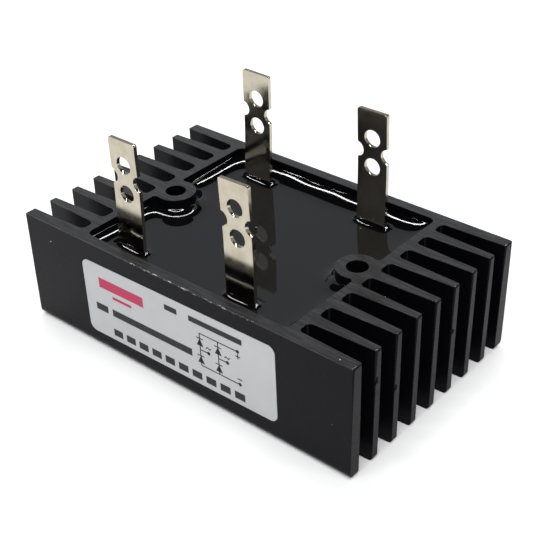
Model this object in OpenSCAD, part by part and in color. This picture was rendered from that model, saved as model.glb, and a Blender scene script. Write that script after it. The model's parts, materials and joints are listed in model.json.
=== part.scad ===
// Single-phase bridge rectifier module in a finned, potted die-cast housing.
// The origin is the centre of the flat underside.  +X runs along the long side,
// -Y is the side that carries the label and +Z points up, out of the potted pocket.
// All lengths are in millimetres and all angles in degrees.

/* [Housing] */
// Length of the housing over the fin tips
body_l = 102; // [98:1:130]
// Width of the housing over the front and back plates
body_w = 62.1; // [60:0.1:76]
// Height of the housing
body_h = 30.5; // [27:0.1:40]
// Draft on each end of the fins, from the top edge to the underside
end_draft = 0.45; // [0.05:0.05:2]
// Radius along the lower edges of the front and back faces
low_edge_r = 1.9; // [0.5:0.1:2.5]
// Radius of the fins' lower outer corners, seen from the label side
low_corner_r = 1.1; // [0.5:0.1:5]
// Radius of the fins' upper outer corners, seen from the label side
top_corner_r = 0.5; // [0.2:0.1:2]

/* [Fins] */
// Number of slots between the fins at each end
slots_per_end = 8; // [4:1:9]
// Thickness of the front and back plates at their ends
plate_t = 2.95; // [2.4:0.05:4]
// Thickness of the other fins at their tips
fin_tip_t = 1.9; // [1.4:0.05:2.4]
// How far each fin flank leans outwards from the tip to the root
fin_taper = 0.7; // [0.2:0.05:1]
// Depth of a slot, from the fin tips to its closed end
slot_depth = 17.3; // [14:0.1:19]
// Radius in the corners of a slot's closed end
slot_r = 1.2; // [0.4:0.1:1.5]
// Radius on the upright edges of the fin tips
tip_r = 0.45; // [0.1:0.05:0.6]

/* [Pocket] */
// Wall between the pocket and the closed ends of the slots
web_t = 2.25; // [1.6:0.05:4]
// Wall between the pocket and the front and back faces
side_wall = 2.85; // [2:0.05:4]
// Radius in the pocket's upright corners
pocket_r = 1.8; // [0.5:0.1:4]
// Thickness of the floor under the pocket
floor_t = 7; // [4:0.1:10]
// Distance from the rim down to the flat surface of the resin
resin_drop = 4.15; // [3:0.05:6]
// Height that the resin creeps up what stands in it
creep_h = 1.3; // [0.5:0.1:2]
// Distance over which that creep runs out
creep_w = 2; // [1:0.1:2.6]

/* [Mounting holes] */
// Distance from the pocket's end wall to the middle of a mounting hole
hole_inset = 2.65; // [1:0.05:5]
// Diameter of the mounting holes
hole_d = 5.3; // [4.2:0.1:6]
// Radius of the round column that each hole runs through
boss_r = 5.2; // [4.5:0.1:6]
// Radius of the fillets where a column meets the wall
boss_fillet_r = 1; // [0.4:0.1:1.6]

/* [Terminal tabs] */
// Sideways places of the tabs: plus, minus, first and second alternating current
tab_x = [-21.9, 13.1, -20.1, 16.7]; // [-22:0.1:22]
// Lean of each tab towards +X
tab_lean = [0, -1.4, 0.9, -0.4]; // [-2:0.1:2]
// How far each tab's upper end stays below the height that is set for all
tab_sink = [1.5, 0.6, 0, 0]; // [0:0.1:2]
// Height of the tabs' upper ends above the rim of the housing
tab_rise = 27; // [20:0.1:34]
// Width of a tab
tab_w = 8.5; // [6.3:0.1:9.5]
// Thickness of a tab
tab_t = 1; // [0.8:0.1:1.5]
// Distance from the pocket's long walls to the middle of each row of tabs
tab_inset = 6; // [5:0.1:8]
// Diameter of the wire holes
wire_hole_d = 4.5; // [3:0.1:5]
// Distance between a tab's two wire holes
wire_hole_pitch = 7.6; // [6:0.1:9]
// Distance from each tab's upper end to its upper hole
wire_hole_drop = [6.5, 6.5, 7.1, 7.2]; // [4:0.1:8]
// Radius of the notches in a tab's edges
notch_r = 2.1; // [1:0.1:2.6]
// Depth of those notches
notch_depth = 1.7; // [0.5:0.1:1.9]
// Radius of a tab's upper corners
tab_corner_r = 0.5; // [0.2:0.1:1.5]
// Length of the foot that a tab is soldered down by
tab_foot = 4; // [3:0.1:5]
// Inside radius of the bends in the tabs and straps
bend_r = 0.6; // [0.3:0.1:1]

/* [Label] */
// Width of the label
label_w = 60.9; // [40:0.1:70]
// Height of the label
label_h = 20.8; // [12:0.1:22]
// Radius of the label's corners
label_r = 2; // [0.5:0.1:4]
// Thickness of the label
label_t = 0.15; // [0.1:0.05:0.3]
// Sideways place of the label's middle
label_x = -0.2; // [-5:0.1:5]
// Height of the label's middle above the underside
label_z = 15.4; // [14:0.1:16]
// Turn of the label from level
label_tilt = 0.9; // [-2:0.1:2]

/* [Circuit] */
// Clearance between the insulators and the pocket's walls
ceramic_gap = 1.5; // [1:0.1:3]
// Thickness of the ceramic insulators
ceramic_t = 1; // [0.6:0.1:1.5]
// Width of the bare rim of an insulator round its copper
ceramic_rim = 1; // [0.5:0.1:1.5]
// Thickness of the copper plates
copper_t = 1.5; // [1:0.1:2.5]
// Thickness of the solder under and over each chip
solder_t = 0.2; // [0.1:0.05:0.4]
// Thickness of the solder under the feet of the tabs and straps
foot_solder_t = 0.3; // [0.25:0.05:0.5]
// Side of a diode chip
chip_side = 7.5; // [5:0.5:9]
// Thickness of a diode chip
chip_t = 0.6; // [0.3:0.1:1]
// Thickness of the copper straps
strap_t = 0.8; // [0.5:0.1:1.2]
// Width of the copper straps
strap_w = 3.6; // [3:0.1:5]
// Height of a strap's arch over the chips
strap_arch = 3.2; // [2:0.1:5]

/* [Hidden] */
$fn = 48;
EPS = 0.02;
BEND_STEPS = 5;
ARC_STEPS = 6;
CREEP_STEPS = 5;
CREEP_LAP = 0.2;

// Tabs and plates in the order of tab_x
PLUS = 0;
MINUS = 1;
AC1 = 2;
AC2 = 3;

// Housing
pitch = (body_w - plate_t) / slots_per_end;
draft_angle = atan(end_draft / body_h);
pocket_l = body_l - 2 * (slot_depth + web_t);
pocket_w = body_w - 2 * side_wall;
hole_x = pocket_l / 2 - hole_inset;
resin_z = body_h - resin_drop;

// Levels of the circuit, from the floor of the pocket upwards
copper_z = floor_t + ceramic_t;
board_z = copper_z + copper_t;
chip_z = board_z + solder_t;
chip_top_z = chip_z + chip_t;
strap_z = chip_top_z + solder_t;
arch_z = strap_z + strap_arch;

// Rows of the circuit: each runs from a tab's foot towards the middle
part_gap = 1;
row_y = pocket_w / 2 - tab_inset;
foot_in_y = row_y + tab_t / 2 - tab_foot;
chip_y = foot_in_y - part_gap - chip_side / 2;
copper_in_y = chip_y - chip_side / 2 - part_gap / 2;
copper_out_y = pocket_w / 2 - ceramic_gap - ceramic_rim;
copper_end_x = pocket_l / 2 - ceramic_gap - ceramic_rim;

// The back row from the left-hand column to the right-hand one: a strap, a chip, the gap
// between two plates, a strap, a chip and the leg of the bridge, with the space that is
// left shared out between them
plate_gap = 2.5;
strap_reach = hole_x - boss_r - part_gap;
row_gap = (2 * strap_reach - 3 * strap_w - 2 * chip_side - plate_gap) / 4;
leg_x = strap_reach - strap_w / 2;
back_chip_x = leg_x - strap_w / 2 - row_gap - chip_side / 2;
second_strap_x = back_chip_x - chip_side / 2 - row_gap - strap_w / 2;

// Sideways places of the chips: two on the plus plate, each under the foot of a strap,
// then one on each plate of the back row
chip_x = [-leg_x, second_strap_x, -back_chip_x, back_chip_x];

// Where one plate of a row ends and the next begins
split_front = tab_x[MINUS] - tab_w / 2 - part_gap / 2 - plate_gap;
split_back = -back_chip_x + (chip_side + row_gap) / 2;

// The straps' feet
strap_foot = 3;
foot_z = board_z + foot_solder_t;
jumper_foot_y = copper_in_y + part_gap / 2 + strap_foot;

// Inner and outer sides of the four plates: left, right, and the row's sign
plate_x = [
    [-copper_end_x, split_front],
    [split_front + plate_gap, copper_end_x],
    [-copper_end_x, split_back],
    [split_back + plate_gap, copper_end_x]
];
row_sign = [-1, -1, 1, 1];

// Each chip's row: the first two share the plus plate
chip_row = [-1, -1, 1, 1];

// ---------- General shapes ----------

// A rectangle centred on the origin with round corners
module rounded_square(size, r) {
    square([size[0] - 2 * r, size[1]], center = true);
    square([size[0], size[1] - 2 * r], center = true);
    for (sx = [-1, 1], sy = [-1, 1])
        translate([sx * (size[0] / 2 - r), sy * (size[1] / 2 - r)]) circle(r);
}

// What is cut from a square corner at the origin to leave it round: the solid lies
// towards +X and +Y
module corner_cut(r) {
    difference() {
        translate([-EPS, -EPS]) square(r + EPS);
        translate([r, r]) circle(r);
    }
}

// A box given by its lowest and highest corners
module block(low, high) {
    translate(low) cube(high - low);
}

function direction(a, b) = (b - a) / norm(b - a);
function turned(v, angle) = [
    v[0] * cos(angle) - v[1] * sin(angle),
    v[0] * sin(angle) + v[1] * cos(angle)
];
function turn_between(u, v) = atan2(u[0] * v[1] - u[1] * v[0], u[0] * v[0] + u[1] * v[1]);

// One side of a bent strip: the middle line's points, moved sideways by offset, with each
// bend an arc about its own centre
function strip_side(path, offset, mid_r) = [
    path[0] + turned(direction(path[0], path[1]), 90) * offset,
    for (i = [1 : len(path) - 2])
        let (
            into = direction(path[i - 1], path[i]),
            turn = turn_between(into, direction(path[i], path[i + 1])),
            bend_start = path[i] - into * mid_r * tan(abs(turn) / 2),
            centre = bend_start + turned(into, 90) * sign(turn) * mid_r
        )
        for (k = [0 : BEND_STEPS])
            centre + turned(into, 90 + turn * k / BEND_STEPS) * (offset - sign(turn) * mid_r),
    path[len(path) - 1] + turned(direction(path[len(path) - 2], path[len(path) - 1]), 90) * offset
];

function reversed(list) = [for (i = [len(list) - 1 : -1 : 0]) list[i]];

// The edge view of a strip of thickness t whose middle line follows path
module strip_profile(path, t) {
    mid_r = bend_r + t / 2;
    polygon(concat(strip_side(path, t / 2, mid_r), reversed(strip_side(path, -t / 2, mid_r))));
}

// A bent strip of width w, centred on x = 0, whose path is given in Y and Z
module bent_strip(path, t, w) {
    rotate([90, 0, 90]) translate([0, 0, -w / 2]) linear_extrude(w) strip_profile(path, t);
}

// ---------- Housing ----------

function fin_y(i) = -body_w / 2 + plate_t / 2 + i * pitch;
function fin_half(i) = (i == 0 || i == slots_per_end) ? plate_t / 2 : fin_tip_t / 2;

// Plan of the slot after fin i at the +X end: its flanks close in towards the closed end,
// whose corners are arcs tangent to the flanks
module slot_plan(i) {
    mouth_low = fin_y(i) + fin_half(i);
    mouth_high = fin_y(i + 1) - fin_half(i + 1);
    middle = (mouth_low + mouth_high) / 2;
    mouth_half = (mouth_high - mouth_low) / 2;
    flank = atan(fin_taper / slot_depth);
    root_x = body_l / 2 - slot_depth;
    arc_x = root_x + slot_r;
    arc_y = mouth_half - fin_taper * (slot_depth - slot_r) / slot_depth - slot_r / cos(flank);
    over = 1;
    side = [
        for (k = [0 : ARC_STEPS])
            let (angle = 180 - (90 - flank) * k / ARC_STEPS)
            [arc_x + slot_r * cos(angle), arc_y + slot_r * sin(angle)],
        [body_l / 2 + over, mouth_half + over * tan(flank)]
    ];
    translate([0, middle])
        polygon(concat(side, [for (p = reversed(side)) [p[0], -p[1]]]));
}

// Corners cut from the tips of fin i at the +X end
module tip_cuts(i) {
    for (side = [-1, 1])
        translate([body_l / 2, fin_y(i) + side * fin_half(i)])
            mirror([1, 0]) mirror([0, side > 0 ? 1 : 0]) corner_cut(tip_r);
}

// Plan of everything that is taken away at the +X end
module end_cuts() {
    for (i = [0 : slots_per_end - 1]) slot_plan(i);
    for (i = [0 : slots_per_end]) tip_cuts(i);
}

// Outline of the housing seen from the label side: drafted ends with round corners
function end_x(z) = body_l / 2 - end_draft * (1 - z / body_h);

module end_corner(z, r) {
    translate([end_x(z) - r / cos(draft_angle), z]) circle(r);
}

module half_elevation() {
    low_x = end_x(low_corner_r) - low_corner_r / cos(draft_angle);
    top_z = body_h - top_corner_r;
    top_x = end_x(top_z) - top_corner_r / cos(draft_angle);
    out = [cos(draft_angle), -sin(draft_angle)];
    polygon([
        [-EPS, 0],
        [low_x, 0],
        [low_x, low_corner_r] + out * low_corner_r,
        [top_x, top_z] + out * top_corner_r,
        [top_x, body_h],
        [-EPS, body_h]
    ]);
    end_corner(low_corner_r, low_corner_r);
    end_corner(top_z, top_corner_r);
}

module elevation() {
    half_elevation();
    mirror([1, 0]) half_elevation();
}

// Outline of the housing seen from one end: round lower edges on the front and back
module end_view() {
    translate([-body_w / 2, low_edge_r]) square([body_w, body_h - low_edge_r]);
    translate([-body_w / 2 + low_edge_r, 0]) square([body_w - 2 * low_edge_r, body_h]);
    for (side = [-1, 1]) translate([side * (body_w / 2 - low_edge_r), low_edge_r]) circle(low_edge_r);
}

// Plan of the round column at the +X end with the fillets that join it to the end wall
module boss_plan() {
    wall_x = pocket_l / 2;
    fillet_x = wall_x - boss_fillet_r;
    reach = boss_r + boss_fillet_r;
    fillet_y = sqrt(reach * reach - pow(fillet_x - hole_x, 2));
    translate([hole_x, 0]) circle(boss_r);
    difference() {
        polygon([
            [hole_x, 0],
            [fillet_x, -fillet_y],
            [wall_x + EPS, -fillet_y],
            [wall_x + EPS, fillet_y],
            [fillet_x, fillet_y]
        ]);
        for (side = [-1, 1]) translate([fillet_x, side * fillet_y]) circle(boss_fillet_r);
    }
}

module pocket_plan() {
    difference() {
        rounded_square([pocket_l, pocket_w], pocket_r);
        boss_plan();
        mirror([1, 0]) boss_plan();
    }
}

module heat_sink() {
    color([0.09, 0.09, 0.095]) difference() {
        intersection() {
            translate([0, body_w / 2 + 1, 0]) rotate([90, 0, 0])
                linear_extrude(body_w + 2) elevation();
            rotate([90, 0, 90]) translate([0, 0, -body_l / 2 - 1])
                linear_extrude(body_l + 2) end_view();
            linear_extrude(body_h) difference() {
                square([body_l + 2, body_w], center = true);
                end_cuts();
                mirror([1, 0]) end_cuts();
            }
        }
        translate([0, 0, floor_t]) linear_extrude(body_h) pocket_plan();
        for (side = [-1, 1]) translate([side * hole_x, 0, -1]) cylinder(h = body_h + 2, d = hole_d);
    }
}

// ---------- Resin ----------

// Section of the creep against a wall at x = 0: a curve that falls as the cube of the
// distance left to run.  It laps over the wall's face by lap.
module creep_section(lap) {
    polygon([
        [-lap, -1],
        [-lap, creep_h],
        for (k = [0 : CREEP_STEPS])
            [creep_w * k / CREEP_STEPS, creep_h * pow(1 - k / CREEP_STEPS, 3)],
        [creep_w, -1]
    ]);
}

// Creep along a straight wall of length l that lies on the Y axis, with the resin at +X
module creep_wall(l) {
    translate([0, l / 2, 0]) rotate([90, 0, 0]) linear_extrude(l) creep_section(CREEP_LAP);
}

// Creep round a column of radius r on the Z axis
module creep_ring(r, lap) {
    rotate_extrude() translate([r, 0]) creep_section(lap);
}

// Creep round a standing strip: four sides and a quarter cone at each corner
module creep_collar(w, t) {
    for (turn = [0, 180]) rotate([0, 0, turn]) {
        translate([w / 2, 0, 0]) creep_wall(t);
        translate([0, t / 2, 0]) rotate([0, 0, 90]) creep_wall(w);
    }
    for (sx = [-1, 1], sy = [-1, 1]) translate([sx * w / 2, sy * t / 2, 0]) creep_ring(0, 0);
}

module creep() {
    for (turn = [0, 180]) rotate([0, 0, turn]) {
        translate([-pocket_l / 2, 0, 0]) creep_wall(pocket_w);
        translate([0, -pocket_w / 2, 0]) rotate([0, 0, 90]) creep_wall(pocket_l);
        translate([hole_x, 0, 0]) creep_ring(boss_r, CREEP_LAP);
    }
    for (k = [PLUS : AC2]) translate([tab_x[k], row_sign[k] * row_y, 0]) creep_collar(tab_w, tab_t);
}

module potting_resin() {
    color([0.03, 0.03, 0.035]) difference() {
        intersection() {
            union() {
                block([-body_l / 2, -body_w / 2, floor_t], [body_l / 2, body_w / 2, resin_z]);
                translate([0, 0, resin_z]) creep();
            }
            translate([0, 0, floor_t]) linear_extrude(body_h) pocket_plan();
        }
        for (k = [PLUS : AC2]) {
            tab(k);
            ceramic(k);
            copper(k);
            solder_tab(k);
        }
        for (k = [0 : 3]) chip_stack(k);
        jumper_ac1();
        jumper_ac2();
        bridge_minus();
        solder_jumper_ac1();
        solder_jumper_ac2();
        solder_bridge();
    }
}

// ---------- Terminal tabs ----------

// A tab is a strip that stands on a foot turned towards the middle.  It is drawn with
// its outer row on +Y and the surface of the resin at z = 0, and leans about that line.
module tab_shape(top, hole_drop, lean) {
    sole = foot_z - resin_z + tab_t / 2;
    upper_hole = top - hole_drop;
    rotate([0, lean, 0]) difference() {
        bent_strip([[0, top], [0, sole], [tab_t / 2 - tab_foot, sole]], tab_t, tab_w);
        for (z = [upper_hole, upper_hole - wire_hole_pitch])
            translate([0, tab_t, z]) rotate([90, 0, 0]) cylinder(h = 2 * tab_t, d = wire_hole_d);
        for (side = [-1, 1]) {
            translate([
                side * (tab_w / 2 - notch_depth + notch_r), tab_t, upper_hole - wire_hole_pitch / 2
            ]) rotate([90, 0, 0]) cylinder(h = 2 * tab_t, r = notch_r);
            translate([side * tab_w / 2, tab_t, top]) rotate([90, 0, 0])
                linear_extrude(2 * tab_t) mirror([side > 0 ? 1 : 0, 0]) mirror([0, 1])
                    corner_cut(tab_corner_r);
        }
    }
}

module tab(k) {
    color([0.72, 0.7, 0.64]) translate([tab_x[k], row_sign[k] * row_y, resin_z])
        mirror([0, row_sign[k] < 0 ? 1 : 0, 0])
            tab_shape(tab_rise - tab_sink[k] + resin_drop, wire_hole_drop[k], tab_lean[k]);
}

module tab_plus() { tab(PLUS); }
module tab_minus() { tab(MINUS); }
module tab_ac1() { tab(AC1); }
module tab_ac2() { tab(AC2); }

// ---------- Circuit ----------

// A plate of the circuit in row k, grown by rim on each side, between two levels
module board(k, rim, low_z, high_z) {
    y = [copper_in_y - rim, copper_out_y + rim] * row_sign[k];
    block(
        [plate_x[k][0] - rim, min(y), low_z],
        [plate_x[k][1] + rim, max(y), high_z]
    );
}

module ceramic(k) {
    color([0.93, 0.92, 0.88]) board(k, ceramic_rim, floor_t, copper_z);
}

module copper(k) {
    color([0.78, 0.45, 0.3]) board(k, 0, copper_z, board_z);
}

module ceramic_plus() { ceramic(PLUS); }
module ceramic_minus() { ceramic(MINUS); }
module ceramic_ac1() { ceramic(AC1); }
module ceramic_ac2() { ceramic(AC2); }

module plate_plus() { copper(PLUS); }
module plate_minus() { copper(MINUS); }
module plate_ac1() { copper(AC1); }
module plate_ac2() { copper(AC2); }

// A square wafer on chip k's place, with a side and two levels
module wafer(k, side, low_z, high_z) {
    y = chip_row[k] * chip_y;
    block(
        [chip_x[k] - side / 2, y - side / 2, low_z],
        [chip_x[k] + side / 2, y + side / 2, high_z]
    );
}

module chip(k) {
    color([0.35, 0.36, 0.4]) wafer(k, chip_side, chip_z, chip_top_z);
}

module solder_low(k) {
    color([0.75, 0.76, 0.78]) wafer(k, chip_side, board_z, chip_z);
}

module solder_top(k) {
    color([0.75, 0.76, 0.78]) wafer(k, strap_w, chip_top_z, strap_z);
}

module chip_stack(k) {
    solder_low(k);
    chip(k);
    solder_top(k);
}

module chip_1() { chip(0); }
module chip_2() { chip(1); }
module chip_3() { chip(2); }
module chip_4() { chip(3); }

module solder_low_1() { solder_low(0); }
module solder_low_2() { solder_low(1); }
module solder_low_3() { solder_low(2); }
module solder_low_4() { solder_low(3); }

module solder_top_1() { solder_top(0); }
module solder_top_2() { solder_top(1); }
module solder_top_3() { solder_top(2); }
module solder_top_4() { solder_top(3); }

// A strap that rises from a pad on a chip, arches over and comes down on a plate.  Its
// path is given along the strap from the pad's far end to the foot's far end.
function arch_path(pad_start, pad_end, foot_start, foot_end) =
    let (
        low = strap_z + strap_t / 2,
        high = arch_z + strap_t / 2,
        sole = foot_z + strap_t / 2
    )
    [
        [pad_start, low], [pad_end, low], [pad_end, high],
        [foot_start, high], [foot_start, sole], [foot_end, sole]
    ];

module jumper(k) {
    color([0.78, 0.45, 0.3]) translate([chip_x[k], 0, 0]) bent_strip(
        arch_path(
            -chip_y - strap_w / 2, -chip_y + strap_w / 2 + strap_t / 2,
            jumper_foot_y - strap_foot + strap_t / 2, jumper_foot_y
        ),
        strap_t, strap_w
    );
}

module jumper_ac1() { jumper(0); }
module jumper_ac2() { jumper(1); }

// The bridge: a strap along X that dips to the two chips of the back row, whose raised
// end runs on as a leg along Y that comes down on the minus plate
module bridge_minus() {
    low = strap_z + strap_t / 2;
    high = arch_z + strap_t / 2;
    sole = foot_z + strap_t / 2;
    pad = strap_w / 2 + strap_t / 2;
    leg_end_y = -jumper_foot_y + strap_foot - strap_t / 2;
    color([0.78, 0.45, 0.3]) {
        translate([0, chip_y, 0]) rotate([0, 0, -90]) bent_strip([
            [chip_x[2] - strap_w / 2, low],
            [chip_x[2] + pad, low],
            [chip_x[2] + pad, high],
            [chip_x[3] - pad, high],
            [chip_x[3] - pad, low],
            [chip_x[3] + pad, low],
            [chip_x[3] + pad, high],
            [leg_x + strap_w / 2, high]
        ], strap_t, strap_w);
        translate([leg_x, 0, 0]) bent_strip([
            [chip_y + strap_w / 2, high],
            [leg_end_y, high],
            [leg_end_y, sole],
            [-jumper_foot_y, sole]
        ], strap_t, strap_w);
    }
}

// Solder under a strap's foot, which lies in the row given by sign
module solder_strap(x, sign) {
    y = sign * [jumper_foot_y - strap_foot + strap_t + bend_r, jumper_foot_y];
    color([0.75, 0.76, 0.78])
        block([x - strap_w / 2, min(y), board_z], [x + strap_w / 2, max(y), foot_z]);
}

module solder_jumper_ac1() { solder_strap(chip_x[0], 1); }
module solder_jumper_ac2() { solder_strap(chip_x[1], 1); }
module solder_bridge() { solder_strap(leg_x, -1); }

// Solder under a tab's foot: it fills the wedge that the tab's lean leaves
module solder_tab(k) {
    foot_x = tab_x[k] - (resin_z - foot_z) * tan(tab_lean[k]);
    rim = 0.2;
    y = row_sign[k] * [foot_in_y + rim, row_y - tab_t / 2 - bend_r];
    color([0.75, 0.76, 0.78]) difference() {
        block(
            [foot_x - tab_w / 2 + rim, min(y), board_z],
            [foot_x + tab_w / 2 - rim, max(y), foot_z + tab_t / 3]
        );
        tab(k);
    }
}

module solder_tab_plus() { solder_tab(PLUS); }
module solder_tab_minus() { solder_tab(MINUS); }
module solder_tab_ac1() { solder_tab(AC1); }
module solder_tab_ac2() { solder_tab(AC2); }

// ---------- Label ----------

module label() {
    color([0.8, 0.8, 0.8]) translate([label_x, -body_w / 2, label_z]) rotate([90, 0, 0])
        rotate([0, 0, label_tilt]) linear_extrude(label_t) rounded_square([label_w, label_h], label_r);
}

heat_sink();
potting_resin();
label();
tab_plus();
tab_minus();
tab_ac1();
tab_ac2();
ceramic_plus();
ceramic_minus();
ceramic_ac1();
ceramic_ac2();
plate_plus();
plate_minus();
plate_ac1();
plate_ac2();
chip_1();
chip_2();
chip_3();
chip_4();
solder_low_1();
solder_low_2();
solder_low_3();
solder_low_4();
solder_top_1();
solder_top_2();
solder_top_3();
solder_top_4();
jumper_ac1();
jumper_ac2();
bridge_minus();
solder_tab_plus();
solder_tab_minus();
solder_tab_ac1();
solder_tab_ac2();
solder_jumper_ac1();
solder_jumper_ac2();
solder_bridge();
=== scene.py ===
# %% [markdown]
# A single-phase bridge rectifier in a black, finned housing of cast aluminium. The
# circuit lies in a pocket under glossy black resin, four tinned tabs stand up out of the
# resin, and a pale label is stuck to the front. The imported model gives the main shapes;
# this lesson gives each piece its fine shape and its finish.

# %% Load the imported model
import json
import math

import bmesh
import bpy
import numpy as np
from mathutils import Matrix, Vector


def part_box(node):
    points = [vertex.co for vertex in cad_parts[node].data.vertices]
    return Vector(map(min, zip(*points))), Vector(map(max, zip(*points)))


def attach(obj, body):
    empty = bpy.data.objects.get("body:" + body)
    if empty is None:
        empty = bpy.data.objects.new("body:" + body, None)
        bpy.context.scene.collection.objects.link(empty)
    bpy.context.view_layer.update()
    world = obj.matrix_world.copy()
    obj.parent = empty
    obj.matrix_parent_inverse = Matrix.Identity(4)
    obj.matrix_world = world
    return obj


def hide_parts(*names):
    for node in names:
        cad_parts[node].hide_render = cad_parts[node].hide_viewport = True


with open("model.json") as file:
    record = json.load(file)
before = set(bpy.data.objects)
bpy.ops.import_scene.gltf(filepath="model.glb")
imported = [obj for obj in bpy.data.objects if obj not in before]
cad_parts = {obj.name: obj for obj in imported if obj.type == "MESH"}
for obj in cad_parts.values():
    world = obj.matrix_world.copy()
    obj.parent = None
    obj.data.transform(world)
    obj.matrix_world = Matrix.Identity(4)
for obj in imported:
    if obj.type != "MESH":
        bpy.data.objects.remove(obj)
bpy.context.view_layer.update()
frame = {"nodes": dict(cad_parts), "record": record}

MM = 0.001


nodes = frame["nodes"]
slots = {part["node"]: part["material_slot"] for part in frame["record"]["subparts"]}

# %% [markdown]
# The pieces share a few levels. The outer ones are read off the boxes of the packed
# nodes. A box doesn't tell how deep a surface lies inside it or how wide a round column
# is, so these few sizes are stated here again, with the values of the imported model, and
# have to be changed here too when the model changes.

# %% Read the main levels
RESIN_DROP = 4.15 * MM
COLUMN_R = 5.2 * MM
HOLE_INSET = 2.65 * MM
TAB_HALF_WIDTH = 4.25 * MM
TAB_HALF_THICKNESS = 0.5 * MM
TABS = ("tab_plus", "tab_minus", "tab_ac1", "tab_ac2")
house_low, house_high = (np.array(corner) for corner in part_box("heat_sink"))
resin_low, resin_high = (np.array(corner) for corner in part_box("potting_resin"))
RIM_Z = house_high[2]
RESIN_Z = RIM_Z - RESIN_DROP
POCKET = resin_high[:2]
COLUMN_X = POCKET[0] - HOLE_INSET
print("rim", RIM_Z / MM, "resin", RESIN_Z / MM, "pocket", POCKET / MM, "column", COLUMN_X / MM)

# %% [markdown]
# The camera looks down on the label side from the right, from close by, so the near
# corner of the housing looks larger than the far one. Its place is a point in space, and
# its turn is given as three angles.

# %% Place the camera
CAMERA_PLACE = np.array([159.59, -179.58, 175.73]) * MM
CAMERA_TURN = (56.668, 1.5197, 40.2138)
LENS, SENSOR = 77.4, 36


def add_object(name, data):
    """A new object in the scene, standing at the origin."""
    thing = bpy.data.objects.new(name, data)
    bpy.context.scene.collection.objects.link(thing)
    return thing


camera_data = bpy.data.cameras.new("camera")
camera_data.lens = LENS
camera_data.sensor_width = SENSOR
camera = add_object("camera", camera_data)
camera.location = CAMERA_PLACE
camera.rotation_euler = [math.radians(angle) for angle in CAMERA_TURN]
bpy.context.scene.camera = camera
print("camera stands", round(camera.location.length / MM), "mm from the origin")

# %% [markdown]
# Lights and materials here are small node trees. Making and joining each node by hand
# takes many lines, so a few short helpers do it: whatever feeds a socket, a constant or
# another node's socket, is named where the node is made.

# %% Helpers for node trees
def feed(tree, socket, value):
    """Joins a socket to the socket that feeds it, or sets it to a constant."""
    if isinstance(value, bpy.types.NodeSocket):
        tree.links.new(value, socket)
    elif socket.type == "RGBA":
        socket.default_value = (*value, 1)
    else:
        socket.default_value = value


def fill(tree, node, **inputs):
    """Feeds a node's sockets by name, where an underscore stands for a blank."""
    for key, value in inputs.items():
        feed(tree, node.inputs[key.replace("_", " ")], value)


def add(tree, kind, settings=None, **inputs):
    """Adds a node; settings are its own options, inputs what feeds its sockets."""
    node = tree.nodes.new(kind)
    for key, value in (settings or {}).items():
        setattr(node, key, value)
    fill(tree, node, **inputs)
    return node


def compute(tree, operation, *values, kind="ShaderNodeMath"):
    """The result of a Math node that works on the values, each a constant or a socket."""
    node = add(tree, kind, {"operation": operation})
    for socket, value in zip(node.inputs, values):
        feed(tree, socket, value)
    return node.outputs[0]


print("node helpers ready")

# %% [markdown]
# The studio is a white table with bright surroundings and a dark ceiling. Under the
# ceiling hang two strips of small lamps, square to the camera's direction, and a wide soft
# lamp on the camera's side. Flat resin shows the bright surroundings as an even grey.
# Where it curves up against a wall it first shows the dark ceiling, and then the strips
# as fine dotted lines. Area lamps would show in the resin too, but one mesh can hold a
# whole strip of dots, and a mesh can be black like the ceiling, so all are cards.

# %% Build the studio
SKY_COLOUR, SKY_STRENGTH = (0.95, 0.975, 1.02), 0.44
STRIP_STRENGTH, STRIP_DOTS = 58.0, 46
TABLE_REACH = 3
world = bpy.data.worlds.new("white_sky")
world.use_nodes = True
sky = world.node_tree.nodes["Background"]
fill(world.node_tree, sky, Color=SKY_COLOUR, Strength=SKY_STRENGTH)
bpy.context.scene.world = world


def card(name, back, height, length, width, strength, dots=1):
    """A flat card that gives an even light, or with a strength of zero a black one.

    It runs square to the camera's direction, and its middle lies the distance back from
    the point above the origin, away from the camera. With more than one dot it is cut
    along its length into that many pieces, with gaps as long as the pieces."""
    glow = bpy.data.materials.new(name + "_glow")
    glow.use_nodes = True
    glow.node_tree.nodes.clear()
    shine = add(glow.node_tree, "ShaderNodeEmission", Strength=strength)
    add(glow.node_tree, "ShaderNodeOutputMaterial", Surface=shine.outputs["Emission"])
    away = -np.array([camera.location.x, camera.location.y])
    away /= np.linalg.norm(away)
    across = np.array([-away[1], away[0]])
    dot = length / (2 * dots - 1)
    corners = np.array([[-1, -1], [-1, 1], [1, 1], [1, -1]]) * [dot / 2, width / 2]
    middles = (np.arange(dots) - (dots - 1) / 2) * 2 * dot
    along = (middles[:, None] + corners[None, :, 0]).ravel()[:, None]
    plan = back * away + along * across + np.tile(corners[:, 1:], (dots, 1)) * away
    points = np.column_stack([plan, np.full(4 * dots, height)])
    faces = np.arange(4 * dots).reshape(-1, 4)
    mesh = bpy.data.meshes.new(name)
    mesh.from_pydata(points.tolist(), [], faces.tolist())
    mesh.materials.append(glow)
    bar = add_object(name, mesh)
    return bar


cards = [
    card("ceiling", back=0.0, height=2.4, length=5.4, width=5.4, strength=0.0),
    card("lamp_soft", back=-1.5, height=1.7, length=2.4, width=1.4, strength=3.5),
    card("lamp_overhead", back=-0.35, height=1.2, length=1.7, width=0.06,
         strength=STRIP_STRENGTH, dots=STRIP_DOTS),
    card("lamp_back", back=0.6, height=1.2, length=1.7, width=0.08,
         strength=STRIP_STRENGTH, dots=STRIP_DOTS),
]
edges = (-TABLE_REACH, TABLE_REACH)
floor_mesh = bpy.data.meshes.new("table")
floor_mesh.from_pydata([(x, y, 0) for y in edges for x in edges], [], [(0, 1, 3, 2)])
floor = add_object("table", floor_mesh)
bpy.context.scene.view_settings.view_transform = "Standard"
print("cards:", [bar.name for bar in cards])

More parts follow.
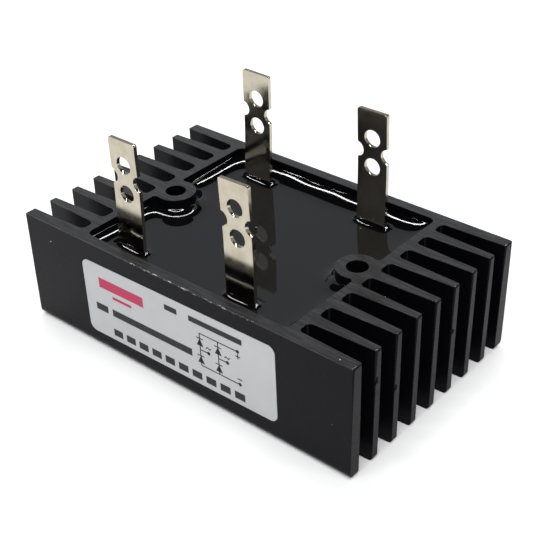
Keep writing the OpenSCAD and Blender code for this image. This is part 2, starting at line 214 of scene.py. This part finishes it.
# %% [markdown]
# Some effects come back in several finishes: grain in all but the table's, and specks in
# the housing's and the resin's. Each effect is a named group of nodes, built once and
# placed with a finish's own values. Streaks and the edge dashes, which are wear with a
# painted highlight, serve the housing alone and are groups to keep its finish short. All
# read the object's own coordinates, in metres.

# %% Helpers for groups
def start_group(name, inputs, outputs):
    """A shader group with plain numbers as inputs (name -> value) and outputs (names).

    Returns the group, the sockets that bring its inputs in and the node that takes its
    outputs."""
    group = bpy.data.node_groups.new(name, "ShaderNodeTree")
    for label, value in inputs.items():
        socket = group.interface.new_socket(label, in_out="INPUT", socket_type="NodeSocketFloat")
        socket.default_value = value
    for label in outputs:
        group.interface.new_socket(label, in_out="OUTPUT", socket_type="NodeSocketFloat")
    return group, group.nodes.new("NodeGroupInput").outputs, group.nodes.new("NodeGroupOutput")


def object_place(tree):
    """The socket that gives a point's place on its object."""
    return add(tree, "ShaderNodeTexCoord").outputs["Object"]


print("group helpers ready")

# %% [markdown]
# Grain is the soft unevenness of a real surface: no metal or paint is equally shiny all
# over. One noise is stretched to lie between a low and a high value, ready to be used as
# a roughness, and also comes out as it is, ready to be used as a height.

# %% Group: grain
grain, given, result = start_group(
    "grain", {"Scale": 800.0, "Low": 0.3, "High": 0.5}, ["Value", "Height"])
noise = add(grain, "ShaderNodeTexNoise", Vector=object_place(grain), Scale=given["Scale"],
            Detail=4.0, Roughness=0.6)
spread = add(grain, "ShaderNodeMapRange", Value=noise.outputs["Fac"], From_Min=0.3,
             From_Max=0.7, To_Min=given["Low"], To_Max=given["High"])
fill(grain, result, Value=spread.outputs["Result"], Height=noise.outputs["Fac"])
print("group", grain.name)

# %% [markdown]
# Streaks are the fine scratches that sanding or rolling leaves, all along one direction.
# A noise that is squeezed across that direction and drawn out along it gives them.

# %% Group: streaks
streaks, given, result = start_group(
    "streaks", {"Across": 3000.0, "Along": 60.0, "Low": 0.45, "High": 0.7}, ["Mask"])
factors = add(streaks, "ShaderNodeCombineXYZ", X=given["Along"], Y=given["Across"],
              Z=given["Across"])
squeezed = compute(streaks, "MULTIPLY", object_place(streaks), factors.outputs["Vector"],
                   kind="ShaderNodeVectorMath")
noise = add(streaks, "ShaderNodeTexNoise", Vector=squeezed, Scale=1.0, Detail=3.0, Roughness=0.7)
contrast = add(streaks, "ShaderNodeMapRange", Value=noise.outputs["Fac"], From_Min=given["Low"],
               From_Max=given["High"])
fill(streaks, result, Mask=contrast.outputs["Result"])
print("group", streaks.name)

# %% [markdown]
# Specks are grains of dust and tiny chips. Each cell of a Voronoi pattern has a random
# colour, and only the few cells whose colour passes a limit show a dot round their point.

# %% Group: specks
specks, given, result = start_group(
    "specks", {"Scale": 400.0, "Share": 0.02, "Size": 0.2}, ["Mask"])
cells = add(specks, "ShaderNodeTexVoronoi", Vector=object_place(specks), Scale=given["Scale"])
split = add(specks, "ShaderNodeSeparateColor", Color=cells.outputs["Color"])
limit = compute(specks, "SUBTRACT", 1.0, given["Share"])
rare = compute(specks, "GREATER_THAN", split.outputs["Red"], limit)
near = compute(specks, "LESS_THAN", cells.outputs["Distance"], given["Size"])
fill(specks, result, Mask=compute(specks, "MULTIPLY", rare, near))
print("group", specks.name)

# %% [markdown]
# Along the middle of its front upper edge the housing has a row of short pale dashes. They
# are in part metal where handling has rubbed the finish through, and in part a painted
# highlight of the rounded edge. The mask keeps to a narrow band at the edge and breaks it
# up with a noise that is drawn out along the edge.

# %% Group: edge wear and painted highlight
DASH_MIDDLE_X, DASH_HALF_LENGTH = 3 * MM, 22 * MM
DASH_SCALES, DASH_CUT = (600.0, 3500.0, 3500.0), 0.58
edge_wear_and_highlight, given, result = start_group("edge_wear_and_highlight", {"Low Z": 0.03, "Front Y": -0.03}, ["Mask"])
place = object_place(edge_wear_and_highlight)
split = add(edge_wear_and_highlight, "ShaderNodeSeparateXYZ", Vector=place)
high = compute(edge_wear_and_highlight, "GREATER_THAN", split.outputs["Z"], given["Low Z"])
front = compute(edge_wear_and_highlight, "LESS_THAN", split.outputs["Y"], given["Front Y"])
middle_stretch = compute(edge_wear_and_highlight, "COMPARE", split.outputs["X"], DASH_MIDDLE_X, DASH_HALF_LENGTH)
drawn_out = compute(edge_wear_and_highlight, "MULTIPLY", place, DASH_SCALES, kind="ShaderNodeVectorMath")
noise = add(edge_wear_and_highlight, "ShaderNodeTexNoise", Vector=drawn_out, Scale=1.0, Detail=6.0,
            Roughness=0.75)
mask = compute(edge_wear_and_highlight, "GREATER_THAN", noise.outputs["Fac"], DASH_CUT)
for region in (high, front, middle_stretch):
    mask = compute(edge_wear_and_highlight, "MULTIPLY", mask, region)
fill(edge_wear_and_highlight, result, Mask=mask)
print("group", edge_wear_and_highlight.name)

# %% [markdown]
# A finish is one Principled shader with its constant values on its own sockets. Only what
# changes over the surface comes in through a node: a roughness that wanders, or a colour
# that a mask moves from one tone to another.

# %% Helpers for finishes
def start_finish(name):
    """A new material, its node tree and its Principled shader."""
    finish = bpy.data.materials.new(name)
    finish.use_nodes = True
    return finish, finish.node_tree, finish.node_tree.nodes["Principled BSDF"]


def use(tree, group, **inputs):
    """Places a shared group in a finish and returns the sockets that it puts out."""
    return add(tree, "ShaderNodeGroup", {"node_tree": group}, **inputs).outputs


def tint(tree, mask, low, high):
    """A colour that goes from low to high with the mask; low may be a colour socket."""
    mix = add(tree, "ShaderNodeMix", {"data_type": "RGBA"}, Factor=mask, A=low, B=high)
    return mix.outputs["Result"]


def wander(tree, scale, low, high):
    """A number that wanders between low and high over the surface."""
    return use(tree, grain, Scale=scale, Low=low, High=high)["Value"]


def mottle(tree, scale, low, high):
    """A colour that wanders between the colours low and high over the surface."""
    return tint(tree, wander(tree, scale, 0.0, 1.0), low, high)


print("finish helpers ready")

# %% [markdown]
# The housing is cast aluminium with a thin black finish, like satin paint. Its top was
# rubbed flat, so it has fine streaks along its length and looks greyer than the sides. A
# few pale specks show where the finish is chipped. Pale dashes along the front upper edge
# are wear and a painted highlight of the rounded edge. The height over the table tells top
# from sides, so one finish serves the whole casting.

# %% Finish: black casting
PAINT, RUBBED, BARE = (0.0022, 0.0021, 0.003), (0.007, 0.007, 0.0075), (0.036, 0.036, 0.038)
# The pale colour serves the chipped specks and the front edge dashes, where it is also a painted
# highlight.
CHIP_AND_HIGHLIGHT = (0.55, 0.55, 0.55)
TOP_BAND, DASH_BAND_Z, DASH_BAND_Y = 0.12 * MM, 0.3 * MM, 0.2 * MM
casting, tree, shader = start_finish("black_casting")
height = add(tree, "ShaderNodeSeparateXYZ", Vector=object_place(tree)).outputs["Z"]
on_top = compute(tree, "GREATER_THAN", height, RIM_Z - TOP_BAND)
lines = use(tree, streaks, Across=3200.0, Along=150.0, Low=0.42, High=0.68)["Mask"]
chips = use(tree, specks, Scale=900.0, Share=0.003, Size=0.13)["Mask"]
# Edge dashes: wear of the finish and a painted highlight of the rounded front edge.
wear_and_highlight = use(tree, edge_wear_and_highlight, Low_Z=RIM_Z - DASH_BAND_Z, Front_Y=house_low[1] + DASH_BAND_Y)["Mask"]
colour = tint(tree, on_top, PAINT, RUBBED)
colour = tint(tree, compute(tree, "MULTIPLY", lines, on_top), colour, BARE)
colour = tint(tree, compute(tree, "MAXIMUM", chips, wear_and_highlight), colour, CHIP_AND_HIGHLIGHT)
skin = use(tree, grain, Scale=900.0, Low=0.26, High=0.38)
relief = add(tree, "ShaderNodeBump", Strength=0.5, Distance=0.03 * MM, Height=skin["Height"])
fill(tree, shader, Base_Color=colour, Roughness=skin["Value"], Normal=relief.outputs["Normal"],
     Specular_IOR_Level=0.08, Specular_Tint=(0.94, 0.9, 1.0), Coat_Weight=on_top,
     Coat_Roughness=0.16, Coat_IOR=1.4)
print("finish", casting.name)

# %% [markdown]
# The resin was poured as a liquid and set with a mirror-like skin. It is almost black
# right through, so all that one sees is reflections, with a few grains of dust.

# %% Finish: potting resin
DEEP_BLACK, DUST = (0.002, 0.002, 0.0023), (0.2, 0.2, 0.2)
resin, tree, shader = start_finish("potting_resin_gloss")
dust = use(tree, specks, Scale=700.0, Share=0.002, Size=0.12)["Mask"]
fill(tree, shader, Base_Color=tint(tree, dust, DEEP_BLACK, DUST), IOR=1.5,
     Roughness=wander(tree, 60.0, 0.03, 0.07))
print("finish", resin.name)

# %% [markdown]
# The tabs are punched from sheet and tinned. Tin is a soft white metal that dulls to a
# warm, slightly blotchy grey, so both its colour and its roughness wander.

# %% Finish: tinned sheet
tinned, tree, shader = start_finish("tinned_sheet")
fill(tree, shader, Metallic=1.0, Roughness=wander(tree, 500.0, 0.1, 0.17),
     Base_Color=mottle(tree, 350.0, (0.42, 0.375, 0.285), (0.51, 0.475, 0.395)))
print("finish", tinned.name)

# %% [markdown]
# The label is a plastic film with a silky face and a very fine tooth. The ink on it is a
# little duller. Both inks come from one function, each with a colour of its own.

# %% Finishes: label film and inks
film, tree, shader = start_finish("label_film")
fill(tree, shader, Roughness=wander(tree, 2500.0, 0.36, 0.46),
     Base_Color=mottle(tree, 120.0, (0.43, 0.435, 0.445), (0.465, 0.47, 0.48)))


def ink(name, colour, thinner=0.01):
    """An ink that lies unevenly: where it is thin, its colour is lighter by thinner."""
    finish, tree, shader = start_finish(name)
    thin = [channel + thinner for channel in colour]
    fill(tree, shader, Base_Color=mottle(tree, 3000.0, colour, thin), Roughness=0.5,
         Specular_IOR_Level=0.2)
    return finish


black_ink = ink("black_ink", (0.012, 0.012, 0.016))
red_ink = ink("crimson_ink", (0.42, 0.03, 0.09))
print("finishes", film.name, black_ink.name, red_ink.name)

# %% [markdown]
# Under the resin lie copper, ceramic, silicon and solder. They can't be seen here, but the
# model holds them, so each gets the finish of its own material, from one function.

# %% Finishes of the buried circuit
def buried(name, low, high, metallic, roughness, scale):
    """A finish whose colour wanders from low to high, and whose roughness wanders between
    its two values on a pattern three times as fine."""
    finish, tree, shader = start_finish(name)
    fill(tree, shader, Metallic=metallic, Base_Color=mottle(tree, scale, low, high),
         Roughness=wander(tree, 3 * scale, *roughness))
    return finish


finishes = {
    "copper": buried(
        "bare_copper", (0.72, 0.36, 0.22), (0.82, 0.46, 0.3), 1.0, (0.25, 0.4), 400.0),
    "ceramic": buried(
        "white_alumina", (0.8, 0.79, 0.75), (0.88, 0.87, 0.84), 0.0, (0.5, 0.65), 500.0),
    "silicon": buried(
        "polished_silicon", (0.2, 0.21, 0.25), (0.26, 0.27, 0.31), 0.6, (0.08, 0.16), 300.0),
    "solder": buried(
        "solder_joint", (0.6, 0.61, 0.63), (0.72, 0.73, 0.75), 1.0, (0.2, 0.4), 600.0),
    "housing": casting,
    "resin": resin,
    "label": film,
    "tab": tinned,
}
for name, node in nodes.items():
    node.data.materials.clear()
    node.data.materials.append(finishes[slots[name]])
print("finishes in use:", sorted({finish.name for finish in finishes.values()}))

# %% [markdown]
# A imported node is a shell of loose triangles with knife-sharp edges. A real casting or a
# punched tab has edges that are a little round, and those edges are what catches the
# light. So a copy of the node is merged into one skin, its flat faces are joined, and a
# Bevel modifier rounds the edges. The copy then stands for the node. Weighted normals,
# which follow the large faces, keep those faces from looking domed next to the rounding.

# %% Round the edges of the housing
MERGE_DISTANCE = 0.001 * MM
FLAT_ANGLE = math.radians(0.3)
SHARP_ANGLE = math.radians(28.0)
ROUNDING_SEGMENTS = 2
NORMAL_WEIGHT = 50
HOUSING_ROUNDING = 0.22 * MM


def rounded_copy(node_name, piece_name, radius):
    """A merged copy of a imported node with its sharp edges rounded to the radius."""
    mesh = nodes[node_name].data.copy()
    mesh.name = piece_name
    piece = add_object(piece_name, mesh)
    work = bmesh.new()
    work.from_mesh(mesh)
    bmesh.ops.remove_doubles(work, verts=work.verts, dist=MERGE_DISTANCE)
    bmesh.ops.dissolve_limit(work, angle_limit=FLAT_ANGLE, verts=work.verts, edges=work.edges)
    work.to_mesh(mesh)
    work.free()
    mesh.shade_smooth()
    bevel = piece.modifiers.new("rounded_edges", "BEVEL")
    bevel.width = radius
    bevel.segments = ROUNDING_SEGMENTS
    bevel.limit_method = "ANGLE"
    bevel.angle_limit = SHARP_ANGLE
    bevel.use_clamp_overlap = True
    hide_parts(node_name)
    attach(piece, "root")
    return piece


def even_normals(piece):
    """Adds the modifier that makes a piece's normals follow its large faces."""
    even = piece.modifiers.new("even_normals", "WEIGHTED_NORMAL")
    even.mode = "FACE_AREA"
    even.weight = NORMAL_WEIGHT


housing = rounded_copy("heat_sink", "housing_casting", HOUSING_ROUNDING)
print("housing faces:", len(housing.data.polygons))

# %% [markdown]
# Three fins have a small dent on the long edge of their right end, from a knock in
# handling. To place them, the points at the very end are sorted by Y. Where two of them
# lie further apart than a fin is thick there is a slot, and a fin starts behind it.

# %% Find the fins
WIDEST_FIN = 2.5 * MM


def points_of(mesh):
    """The points of a mesh as an n by 3 array."""
    points = np.zeros(len(mesh.vertices) * 3)
    mesh.vertices.foreach_get("co", points)
    return points.reshape(-1, 3)


points = points_of(nodes["heat_sink"].data)
end_x = points[:, 0].max()
at_end = points[:, 0] > end_x - 0.01 * MM
fin_sides = np.unique(np.round(points[at_end, 1], 6))
fin_starts = fin_sides[1:][np.diff(fin_sides) > WIDEST_FIN]
print("fins start at", (fin_starts / MM).round(2), "of", (fin_sides / MM).round(2))

# %% [markdown]
# Each dent is cut out of the rounded casting with an uneven ball; then the balls are
# thrown away. The cut comes after the rounding, because a Bevel would give a fresh dent
# neat edges, so the rounded and cut casting is made a plain mesh here.

# %% Three dents in the fin ends
DENTS = [(0, 22.6 * MM), (1, 16.0 * MM), (4, 18.2 * MM)]
DENT_SIZE = np.array([0.8, 0.6, 1.0]) * MM


def uneven_balls(name, spots, size):
    """One mesh with a ball about each spot. Its radii are size * (1 + 0.25 sin(3 x + k)
    cos(4 z)), where x and z are taken on a unit ball and k is the ball's number."""
    work = bmesh.new()
    for _ in spots:
        bmesh.ops.create_icosphere(work, subdivisions=2, radius=1.0)
    mesh = bpy.data.meshes.new(name)
    work.to_mesh(mesh)
    work.free()
    unit = points_of(mesh).reshape(len(spots), -1, 3)
    number = np.arange(len(spots))[:, None]
    swell = 1 + 0.25 * np.sin(3 * unit[:, :, 0] + number) * np.cos(4 * unit[:, :, 2])
    places = np.array(spots)[:, None, :] + unit * swell[:, :, None] * size
    mesh.vertices.foreach_set("co", places.ravel())
    return add_object(name, mesh)


spots = [(end_x, fin_starts[fin], z) for fin, z in DENTS]
balls = uneven_balls("dents", spots, DENT_SIZE)
cut = housing.modifiers.new("dents", "BOOLEAN")
cut.operation = "DIFFERENCE"
cut.solver = "MANIFOLD"
cut.object = balls
finished = housing.evaluated_get(bpy.context.evaluated_depsgraph_get())
dented = bpy.data.meshes.new_from_object(finished)
dented.name = "housing_casting_dented"
housing.modifiers.clear()
housing.data = dented
bpy.data.objects.remove(balls)
even_normals(housing)
print("housing faces with dents:", len(dented.polygons))

# %% [markdown]
# A tab that was pushed through a fixture isn't perfectly flat. Each is bowed by a few
# tenths of a millimetre between resin and tip, which moves the place where its mirror
# image of the bright table ends. The flat sides are first cut across at many heights,
# because a large flat face has no points inside it that could move.

# %% The four tabs, slightly bowed
TAB_ROUNDING = 0.12 * MM
BOW_DEPTH = 0.35 * MM
BOW_CUTS = 14


def bow(piece, depth, cuts):
    """Moves points by depth * (1 - cos(2 pi u)) / 2 along Y, where u runs from 0 at the
    resin to 1 at the tip."""
    mesh = piece.data
    tip = points_of(mesh)[:, 2].max()
    work = bmesh.new()
    work.from_mesh(mesh)
    for z in np.linspace(RESIN_Z, tip, cuts + 2)[1:-1]:
        everything = work.verts[:] + work.edges[:] + work.faces[:]
        bmesh.ops.bisect_plane(work, geom=everything, plane_co=(0, 0, z), plane_no=(0, 0, 1))
    work.to_mesh(mesh)
    work.free()
    points = points_of(mesh)
    u = np.clip((points[:, 2] - RESIN_Z) / (tip - RESIN_Z), 0, 1)
    points[:, 1] += depth * (1 - np.cos(2 * np.pi * u)) / 2
    mesh.vertices.foreach_set("co", points.ravel())
    mesh.update()


tabs = [rounded_copy(name, name + "_tinned", TAB_ROUNDING) for name in TABS]
for tab in tabs:
    bow(tab, BOW_DEPTH, BOW_CUTS)
    even_normals(tab)
print("tab faces:", [len(tab.data.polygons) for tab in tabs])

# %% [markdown]
# Liquid resin climbs whatever stands in it and sets in that shape: a thin curved rim, or
# meniscus. How high it stands at a point depends on how far that is from each wall, column
# and tab. Walls and columns are easy; a tab leans, so the place where it passes the
# resin's level is worked out from its points well above and well below that level.

# %% Distances on the resin
WELL_CLEAR = 8 * MM


def tab_foot(name):
    """The middle of a tab where it passes the resin's level: x lies on the straight line
    from the middle of its points below to that of its points above, and y lies half a
    thickness inside its outer face."""
    low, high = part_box(name)
    points = points_of(nodes[name].data)
    below = points[points[:, 2] < RESIN_Z - WELL_CLEAR]
    above = points[points[:, 2] > RESIN_Z + WELL_CLEAR]
    x_low, _, z_low = (below.min(axis=0) + below.max(axis=0)) / 2
    x_top, _, z_top = (above.min(axis=0) + above.max(axis=0)) / 2
    share = (RESIN_Z - z_low) / (z_top - z_low)
    y = low[1] + TAB_HALF_THICKNESS if low[1] < 0 else high[1] - TAB_HALF_THICKNESS
    return x_low + share * (x_top - x_low), y


def tab_distance(x, y, foot):
    """Distance from points to the tab's outline at its foot: zero inside it."""
    dx = np.maximum(np.abs(x - foot[0]) - TAB_HALF_WIDTH, 0)
    dy = np.maximum(np.abs(y - foot[1]) - TAB_HALF_THICKNESS, 0)
    return np.hypot(dx, dy)


feet = [tab_foot(name) for name in TABS]
print("tabs cross the resin at", [(round(x / MM, 2), round(y / MM, 2)) for x, y in feet])

# %% [markdown]
# The top of the resin is a height over a grid. A grid that is fine enough for the curved
# rims would have far too many faces on the flat stretches, so its lines lie close together
# near the walls, columns and tabs only.

# %% Grid lines of the resin
FINE_MM, COARSE_MM = 0.2, 0.8
FINE_REACH_MM, WIDENING_MM = 2.4, 2
WALL_LAP = 0.3 * MM
SAMPLES = 20001


def graded_lines(limit, centres):
    """Grid lines from -limit to limit: close together near each centre, wide elsewhere.

    The spacing is a function of the distance to the nearest centre, and the lines are
    where the summed-up density passes equal steps."""
    t = np.linspace(-limit, limit, SAMPLES)
    nearest = np.min(np.abs(t[:, None] - np.array(centres)[None, :]), axis=1)
    widening = np.clip((nearest / MM - FINE_REACH_MM) / WIDENING_MM, 0, 1)
    spacing = (FINE_MM + (COARSE_MM - FINE_MM) * widening) * MM
    total = np.concatenate([[0], np.cumsum(np.diff(t) / spacing[1:])])
    steps = int(np.ceil(total[-1]))
    return np.interp(np.linspace(0, total[-1], steps + 1), total, t)


column_face = COLUMN_X - COLUMN_R
x_centres = [-POCKET[0], POCKET[0], -column_face, column_face]
x_centres += [x + side * TAB_HALF_WIDTH for x, _ in feet for side in (-1, 1)]
y_centres = [-POCKET[1], POCKET[1], -COLUMN_R, COLUMN_R] + [y for _, y in feet]
grid_x = graded_lines(POCKET[0] + WALL_LAP, x_centres)
grid_y = graded_lines(POCKET[1] + WALL_LAP, y_centres)
print("resin grid:", len(grid_x), "by", len(grid_y))

# %% [markdown]
# Resin shrinks a little as it sets, which leaves a shallow dish. The height is that dish
# plus a rise at each wall, column and tab that fades with the distance. The front wall is
# wetted much less than the others. The rises add up but never past a limit, so a nook
# between two things fills with one smooth fillet.

# %% Heights of the resin
RISE, LIMIT, DISH = 2.1 * MM, 4.2 * MM, 0.45 * MM
FADE_BACK, FADE_SIDE, FADE_FRONT = 1.9 * MM, 1.15 * MM, 0.45 * MM
FADE_COLUMN, FADE_TAB = 1.1 * MM, 0.6 * MM
AT_WALL, AT_FRONT, AT_COLUMN, AT_TAB = 0.95, 0.2, 0.85, 0.45
TAB_EDGE_DROP = 0.4
RIPPLE, RIPPLE_X, RIPPLE_Y = 0.08, 2.3 * MM, 2.9 * MM


def fading(distance, fade):
    """1 on the thing itself, and exp(-distance / fade) beside it."""
    return np.exp(-np.maximum(distance, 0) / fade)


def resin_height(x, y):
    """Level + shallow dish + limit * (1 - exp(-rise * ripple * climb / limit)), where
    climb is the sum over all wetted things of share * exp(-distance / fade), and the
    ripple is a slow wave that changes the rise by 8 percent at most."""
    climb = AT_WALL * fading(POCKET[0] - np.abs(x), FADE_SIDE)
    climb += AT_WALL * fading(POCKET[1] - y, FADE_BACK)
    climb += AT_FRONT * fading(POCKET[1] + y, FADE_FRONT)
    climb += AT_COLUMN * fading(np.hypot(np.abs(x) - COLUMN_X, y) - COLUMN_R, FADE_COLUMN)
    for foot in feet:
        outwards = np.clip(np.abs(x - foot[0]) / TAB_HALF_WIDTH, 0, 1)
        share = AT_TAB * (1 - TAB_EDGE_DROP * outwards**4)
        climb += share * fading(tab_distance(x, y, foot), FADE_TAB)
    ripple = 1 + RIPPLE * np.sin(x / RIPPLE_X + 1.7) * np.sin(y / RIPPLE_Y + 0.4)
    dish = DISH * ((x / POCKET[0]) ** 2 + (y / POCKET[1]) ** 2)
    return RESIN_Z + dish + LIMIT * (1 - np.exp(-RISE * ripple * climb / LIMIT))


gx, gy = np.meshgrid(grid_x, grid_y, indexing="ij")
gz = resin_height(gx, gy)
print("resin from", round(gz.min() / MM, 2), "to", round(gz.max() / MM, 2), "mm")

# %% [markdown]
# A made surface becomes a piece in two steps: its points and faces go into a mesh as
# whole arrays, which is much faster than one by one, and the mesh gets its finish and the
# body that it rides on.

# %% Helpers: mesh and piece from arrays
def numbered_quads(nx, ny):
    """The four corner numbers of each cell of an nx by ny grid of points, x first."""
    i, j = np.meshgrid(np.arange(nx - 1), np.arange(ny - 1), indexing="ij")
    first = i * ny + j
    return np.stack([first, first + ny, first + ny + 1, first + 1], axis=-1).reshape(-1, 4)


def mesh_from(name, points, quads):
    """A mesh from whole arrays: points as n by 3, quads as m by 4."""
    mesh = bpy.data.meshes.new(name)
    mesh.vertices.add(len(points))
    mesh.vertices.foreach_set("co", points.astype(np.float32).ravel())
    mesh.loops.add(quads.size)
    mesh.loops.foreach_set("vertex_index", quads.astype(np.int32).ravel())
    mesh.polygons.add(len(quads))
    mesh.polygons.foreach_set("loop_start", np.arange(0, quads.size, 4, dtype=np.int32))
    mesh.update(calc_edges=True)
    mesh.validate()
    return mesh


def place_piece(name, mesh, finish, replaced=()):
    """Links a finished mesh as a piece of the object, riding on its one body."""
    piece = add_object(name, mesh)
    mesh.materials.append(finish)
    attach(piece, "root")
    if replaced:
        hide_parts(*replaced)


print("mesh helpers ready")

# %% [markdown]
# The real resin is a block, so the surface gets walls and an underside and stands for the
# whole of it. Cells well inside the two columns are left out, because the screw holes run
# there; what laps into a wall or a column is hidden by it. A side that only one kept cell
# has is part of a rim, and a wall goes down from it.

# %% Resin as a closed block
COLUMN_LAP = 0.7 * MM


def open_sides(quads, count):
    """The sides that only one of the quads has, as pairs of point numbers below count."""
    sides = np.stack([quads, np.roll(quads, -1, axis=1)], axis=-1).reshape(-1, 2)
    ends = np.sort(sides, axis=1)
    keys = ends[:, 0] * count + ends[:, 1]
    _, first, times = np.unique(keys, return_index=True, return_counts=True)
    return sides[first[times == 1]]


top = np.stack([gx, gy, gz], axis=-1).reshape(-1, 3)
bottom = top * [1, 1, 0] + [0, 0, resin_low[2]]
cells = numbered_quads(len(grid_x), len(grid_y))
middle = top[cells].mean(axis=1)
from_column = np.hypot(np.abs(middle[:, 0]) - COLUMN_X, middle[:, 1])
kept = cells[from_column > COLUMN_R - COLUMN_LAP]
count = len(top)
rim = open_sides(kept, count)
walls = np.stack([rim[:, 1], rim[:, 0], rim[:, 0] + count, rim[:, 1] + count], axis=-1)
block = np.concatenate([kept, kept[:, ::-1] + count, walls])
resin_mesh = mesh_from("potting", np.concatenate([top, bottom]), block)
resin_mesh.shade_smooth()
place_piece("potting_surface", resin_mesh, resin, ["potting_resin"])
print("resin faces:", len(resin_mesh.polygons))

# %% [markdown]
# The print on the label is plain: a diode bridge drawn as a circuit symbol, two crimson
# bars, and dark bars where lines of text would be. Each mark is a flat outline in the
# label's own plane, in millimetres from the middle of the housing's lower front edge.

# %% Shapes of the marks
def mark_bar(x0, z0, x1, z1):
    """A bar between two corners, as four points."""
    return np.array([[x0, z0], [x1, z0], [x1, z1], [x0, z1]])


def mark_line(a, b, width):
    """A straight stroke from a to b: both ends moved half the width to each side."""
    a, b = np.array(a, float), np.array(b, float)
    along = (b - a) / np.linalg.norm(b - a)
    side = np.array([-along[1], along[0]]) * width / 2
    return np.array([a - side, b - side, b + side, a + side])


def mark_dot(x, z, r, n=16):
    """A round dot: points at equal angles round its centre."""
    angle = np.arange(n) * 2 * np.pi / n
    return np.stack([x + r * np.cos(angle), z + r * np.sin(angle)], axis=-1)


def diode(x, z, size, stroke):
    """A diode symbol that points up: a triangle and the bar at its tip."""
    triangle = np.array([[x - size, z - size], [x + size, z - size], [x, z + size]])
    return [triangle, mark_line((x - size, z + size), (x + size, z + size), stroke)]


print("mark helpers ready")

# %% [markdown]
# The bridge has two upright branches with two diodes each. Its upper and lower ends go to
# the direct-current terminals, marked with a plus and a minus, and the middle of each
# branch goes to an alternating-current terminal, marked with a wave.

# %% Marks on the label
STROKE, THIN_STROKE = 0.3, 0.28
DIODE_SIZE, TERMINAL_R, TERMINAL_LAP = 1.05, 0.5, 0.1
BLOCKS, BLOCK_PITCH = 10, 4.42
left, right = 7.8, 13.4
upper, centre, lower = 20.0, 15.4, 10.9
plus_x, minus_x, wave_1_x, wave_2_x = 19.4, 19.6, 10.4, 16.1
symbol = [mark_line((x, lower), (x, upper), STROKE) for x in (left, right)]
for start, end, z in [(left, plus_x, upper), (left, minus_x, lower),
                      (left, wave_1_x, centre), (right, wave_2_x, centre)]:
    symbol.append(mark_line((start, z), (end - TERMINAL_LAP, z), STROKE))
    symbol.append(mark_dot(end, z, TERMINAL_R))
plus_sign = [((18.7, 18.6), (20.1, 18.6)), ((19.4, 17.9), (19.4, 19.3))]
minus_sign = [((18.9, 12.3), (20.3, 12.3))]
symbol += [mark_line(a, b, STROKE) for a, b in plus_sign + minus_sign]
for x in (left, right):
    for z in (17.5, 12.6):
        symbol += diode(x, z, DIODE_SIZE, THIN_STROKE)
for x in (wave_1_x, wave_2_x):
    wave = [(x - 0.8, 16.5), (x - 0.3, 17.0), (x + 0.3, 16.5), (x + 0.8, 17.0)]
    symbol += [mark_line(a, b, THIN_STROKE) for a, b in zip(wave, wave[1:])]
text_bars = [mark_bar(-27.3, 12.3, -23.2, 14.3), mark_bar(-21.6, 12.3, 5.0, 14.3),
             mark_bar(-3.0, 22.1, 1.0, 23.6), mark_bar(4.7, 22.2, 20.8, 23.7)]
steps = [BLOCK_PITCH * k for k in range(BLOCKS)]
text_bars += [mark_bar(-22.0 + step, 6.4, -18.9 + step, 8.4) for step in steps]
red_bars = [mark_bar(-25.3, 19.4, -10.2, 22.2), mark_bar(-21.0, 17.4, -14.5, 18.2)]
print("marks:", len(symbol), len(text_bars), len(red_bars))

# %% [markdown]
# Ink could be a mask in the film's finish. But a finish is baked into a texture when the
# piece is exported, and a mask's edges would be as coarse as that texture. As thin raised
# shapes the marks stay crisp from close by, and they are pieces of their own.

# %% Ink as thin raised shapes
LABEL_X, LABEL_Z, LABEL_TILT = -0.2, 15.4, math.radians(0.9)
FILM_THICKNESS, INK_PROUD, INK_SUNK = 0.15, 0.02, 0.03


def ink_mesh(name, outlines):
    """Each outline becomes a thin prism: its face lies a little proud of the label, and
    its sides go back into the film. Points (x, z) are turned about the label's middle by
    the tilt: x' = x cos - z sin, z' = x sin + z cos."""
    cos, sin = math.cos(LABEL_TILT), math.sin(LABEL_TILT)
    levels = (FILM_THICKNESS + INK_PROUD, FILM_THICKNESS - INK_SUNK)
    points, polygons, start = [], [], 0
    for outline in outlines:
        n = len(outline)
        local = outline - [LABEL_X, LABEL_Z]
        turned = local @ np.array([[cos, sin], [-sin, cos]]) + [LABEL_X, LABEL_Z]
        for level in levels:
            y = np.full(n, house_low[1] / MM - level)
            points.append(np.stack([turned[:, 0], y, turned[:, 1]], axis=-1) * MM)
        ring = start + np.arange(n)
        after = np.roll(ring, -1)
        polygons += [ring.tolist(), (ring[::-1] + n).tolist()]
        polygons += np.stack([ring, ring + n, after + n, after], axis=-1).tolist()
        start += 2 * n
    mesh = bpy.data.meshes.new(name)
    mesh.from_pydata(np.concatenate(points).tolist(), [], polygons)
    mesh.validate()
    return mesh


place_piece("label_symbol", ink_mesh("label_symbol", symbol + text_bars), black_ink)
place_piece("label_bar", ink_mesh("label_bar", red_bars), red_ink)
print("label middle at height", LABEL_Z, "mm")

# %% [markdown]
# The table is plain and pale, so that the black casting stands out. It is stage, not part
# of the object.

# %% Finish: table
table_finish, tree, shader = start_finish("table_white")
fill(tree, shader, Base_Color=(0.94, 0.94, 0.94), Roughness=0.8, Specular_IOR_Level=0.2)
floor.data.materials.append(table_finish)
print("finish", table_finish.name)
